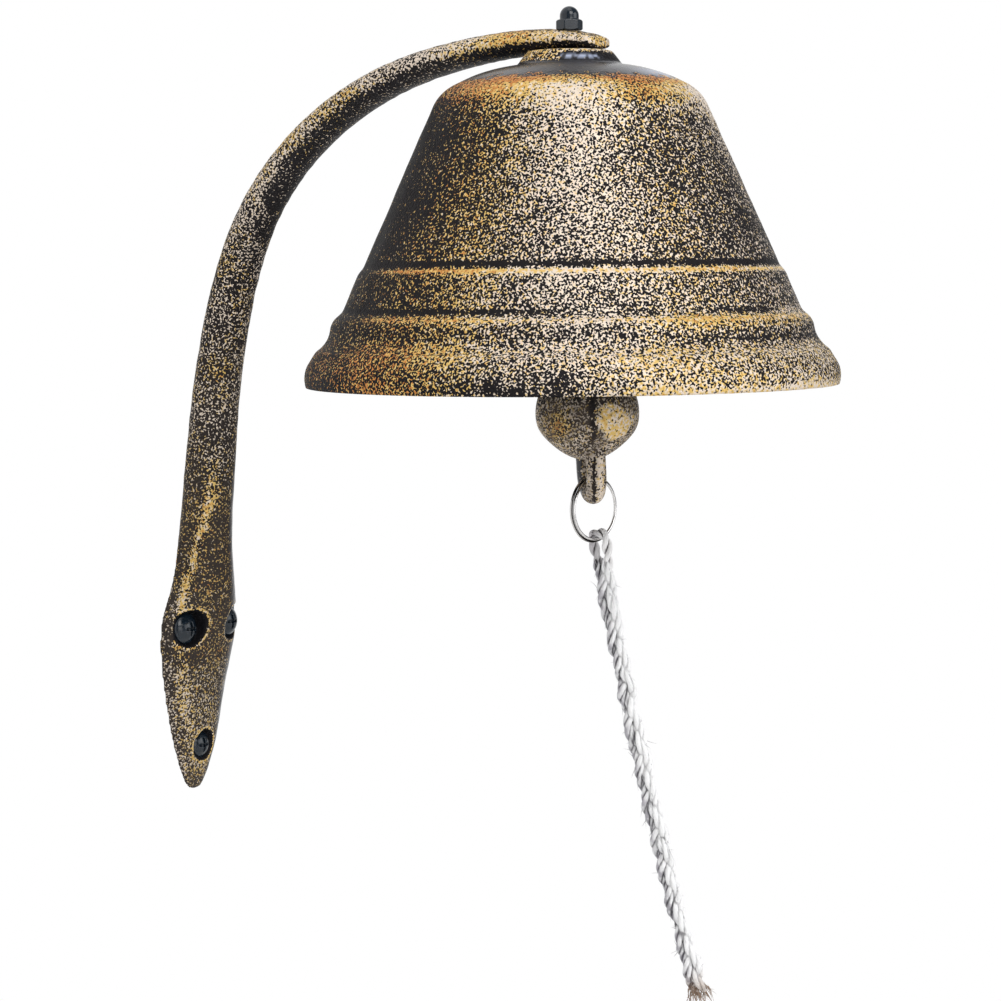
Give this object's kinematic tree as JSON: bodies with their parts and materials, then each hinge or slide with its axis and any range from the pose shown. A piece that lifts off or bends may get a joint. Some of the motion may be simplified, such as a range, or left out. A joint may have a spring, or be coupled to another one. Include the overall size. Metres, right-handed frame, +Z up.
{
  "type": "doorbell",
  "caption": "Cast wall bell on a swan-neck bracket, with a swinging clapper, a split ring and a plaited pull rope.",
  "frame": {"origin": "on the wall pad's flat back face, midway between the two upper screws", "axes": "+Z up, +Y into the wall, the bell stands out along -Y, +X across"},
  "size_m": [0.16, 0.253, 0.3005],
  "materials": {
    "bronzed_iron": "dark antique bronze, rubbed gold on the high points",
    "black_paint": "gloss",
    "bright_steel": "polished",
    "rope_yarn": "plaited cotton"
  },
  "bodies": {
    "root": {"bracket": "bronzed_iron", "bell": "bronzed_iron", "hanger_bolt": "bright_steel", "cap_nut": "black_paint", "crown_washer": "bright_steel", "crown_nut": "bright_steel", "wall_screw_left": "black_paint", "wall_screw_right": "black_paint", "wall_screw_lower": "black_paint"},
    "clapper": {"clapper": "bronzed_iron"},
    "ring": {"pull_ring": "bright_steel"},
    "rope": {"rope": "rope_yarn", "rope_eye": "rope_yarn"}
  },
  "joints": [
    {"name": "clapper_swing", "type": "hinge", "parent": "root", "child": "clapper", "pos_m": [0, -0.145, 0.1476], "axis": [0.7314, 0.682, 0], "range_deg": [-40, 46]},
    {"name": "ring_swing", "type": "hinge", "parent": "clapper", "child": "ring", "pos_m": [0.00398, -0.14927, 0.05278], "axis": [-0.977, 0.213, 0], "range_deg": [-20, 20]},
    {"name": "rope_swing", "type": "hinge", "parent": "ring", "child": "rope", "pos_m": [0.00652, -0.14987, 0.0342], "axis": [0.9665, -0.2107, 0.1468], "range_deg": [-30, 30]}
  ]
}
